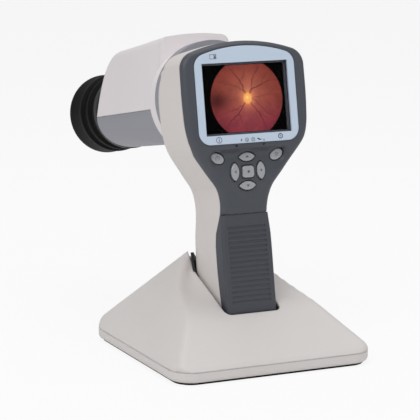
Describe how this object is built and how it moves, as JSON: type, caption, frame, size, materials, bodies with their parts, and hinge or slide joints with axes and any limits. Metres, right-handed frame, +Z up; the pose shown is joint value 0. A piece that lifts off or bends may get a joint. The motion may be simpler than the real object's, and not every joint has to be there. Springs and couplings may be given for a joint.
{
  "type": "handheld fundus camera in charging stand",
  "caption": "Handheld eye-fundus camera with colour screen, keypad, ribbed grip, optics module and rubber eyecup, standing in a square charging stand.",
  "frame": {"origin": "centre of the square foot's underside", "axes": "+Z up, the screen faces -Y, the optics module points to +Y, +X is the screen viewer's right"},
  "size_m": [0.12, 0.2465, 0.1764],
  "materials": {
    "shell_grey": "satin",
    "cover_white": "satin",
    "stand_grey": "satin",
    "fascia_grey": "satin",
    "grip_grey": "matte",
    "module_grey": "satin",
    "bezel_blue": "gloss",
    "window_clear": "polished",
    "frame_dark": "matte",
    "screen": "gloss",
    "key_silver": "satin",
    "board_green": "satin",
    "silicone": "matte",
    "sensor_black": "gloss",
    "battery_blue": "satin",
    "contact_gold": "polished",
    "black_plastic": "satin",
    "black_metal": "satin",
    "black_rubber": "matte",
    "lens_glass": "polished",
    "steel": "satin",
    "ballast_steel": "matte"
  },
  "bodies": {
    "stand": {"stand_cover": "stand_grey", "stand_base_tray": "stand_grey", "stand_foot_pad": "black_rubber", "dock_well": "black_plastic", "stand_ballast": "ballast_steel", "dock_board": "board_green", "dock_power_jack": "steel", "dock_contact_block": "black_plastic", "stand_screws": "steel"},
    "spring_pins": {"dock_spring_pins": "contact_gold"},
    "handset": {"front_fascia": "fascia_grey", "handset_shell": "shell_grey", "grip_cover": "grip_grey", "display_bezel": "bezel_blue", "display_gasket": "frame_dark", "display_window": "window_clear", "display_panel": "screen", "main_board": "board_green", "keypad_membrane": "silicone", "keypad_board": "board_green", "image_sensor": "sensor_black", "sensor_board": "board_green", "battery_pack": "battery_blue", "handset_contacts": "contact_gold", "handle_end_cap": "black_plastic", "handset_screws": "steel", "mount_ring": "black_metal", "rear_window": "lens_glass"},
    "trigger": {"shutter_trigger": "fascia_grey"},
    "optics": {"optics_upper_cover": "cover_white", "optics_lower_cover": "module_grey", "optics_chassis": "black_plastic", "bayonet_flange": "black_metal", "objective_lens": "lens_glass", "beam_splitter": "lens_glass", "condenser_lens": "lens_glass", "illumination_led": "steel", "guide_rods": "steel", "focus_motor": "steel", "eyecup_collar": "fascia_grey"},
    "screw": {"focus_screw": "steel"},
    "carriage": {"focus_carriage": "black_plastic", "relay_lens": "lens_glass"},
    "eyecup_body": {"eyecup": "black_rubber"},
    "power_key": {"power_button": "key_silver"},
    "menu_key": {"menu_button": "key_silver"},
    "up_key": {"up_button": "key_silver"},
    "down_key": {"down_button": "key_silver"},
    "left_key": {"left_button": "key_silver"},
    "right_key": {"right_button": "key_silver"},
    "select_key": {"select_button": "key_silver"}
  },
  "joints": [
    {"name": "handset_lift", "type": "slide", "parent": "stand", "child": "handset", "axis": [0, 0.191, 0.9816], "range_m": [0, 0.1]},
    {"name": "pin_spring", "type": "slide", "parent": "stand", "child": "spring_pins", "axis": [0, 0.191, 0.9816], "range_m": [-0.0006, 0], "stiffness_N_per_m": 400},
    {"name": "trigger_press", "type": "slide", "parent": "handset", "child": "trigger", "axis": [0, -0.9816, 0.191], "range_m": [0, 0.002], "stiffness_N_per_m": 800},
    {"name": "optics_twist", "type": "hinge", "parent": "handset", "child": "optics", "pos_m": [0, 0.03246, 0.13841], "axis": [0, 0.9816, -0.191], "range_deg": [0, 30]},
    {"name": "focus_turn", "type": "hinge", "parent": "optics", "child": "screw", "pos_m": [0, 0.06487, 0.14789], "axis": [0, 0.9816, -0.191], "range_deg": [-1100, 1100]},
    {"name": "focus_travel", "type": "slide", "parent": "optics", "child": "carriage", "axis": [0, 0.9816, -0.191], "range_m": [-0.003, 0.003]},
    {"name": "eyecup_pull", "type": "slide", "parent": "optics", "child": "eyecup_body", "axis": [0, 0.9816, -0.191], "range_m": [0, 0.015]},
    {"name": "power_press", "type": "slide", "parent": "handset", "child": "power_key", "axis": [0, 0.9816, -0.191], "range_m": [0, 0.0007], "stiffness_N_per_m": 600},
    {"name": "menu_press", "type": "slide", "parent": "handset", "child": "menu_key", "axis": [0, 0.9816, -0.191], "range_m": [0, 0.0007], "stiffness_N_per_m": 600},
    {"name": "up_press", "type": "slide", "parent": "handset", "child": "up_key", "axis": [0, 0.9816, -0.191], "range_m": [0, 0.0007], "stiffness_N_per_m": 600},
    {"name": "down_press", "type": "slide", "parent": "handset", "child": "down_key", "axis": [0, 0.9816, -0.191], "range_m": [0, 0.0007], "stiffness_N_per_m": 600},
    {"name": "left_press", "type": "slide", "parent": "handset", "child": "left_key", "axis": [0, 0.9816, -0.191], "range_m": [0, 0.0007], "stiffness_N_per_m": 600},
    {"name": "right_press", "type": "slide", "parent": "handset", "child": "right_key", "axis": [0, 0.9816, -0.191], "range_m": [0, 0.0007], "stiffness_N_per_m": 600},
    {"name": "select_press", "type": "slide", "parent": "handset", "child": "select_key", "axis": [0, 0.9816, -0.191], "range_m": [0, 0.0007], "stiffness_N_per_m": 600}
  ],
  "couplings": [
    {"joint": "focus_turn", "follows": "focus_travel", "rad_per_m": 6283.2}
  ]
}
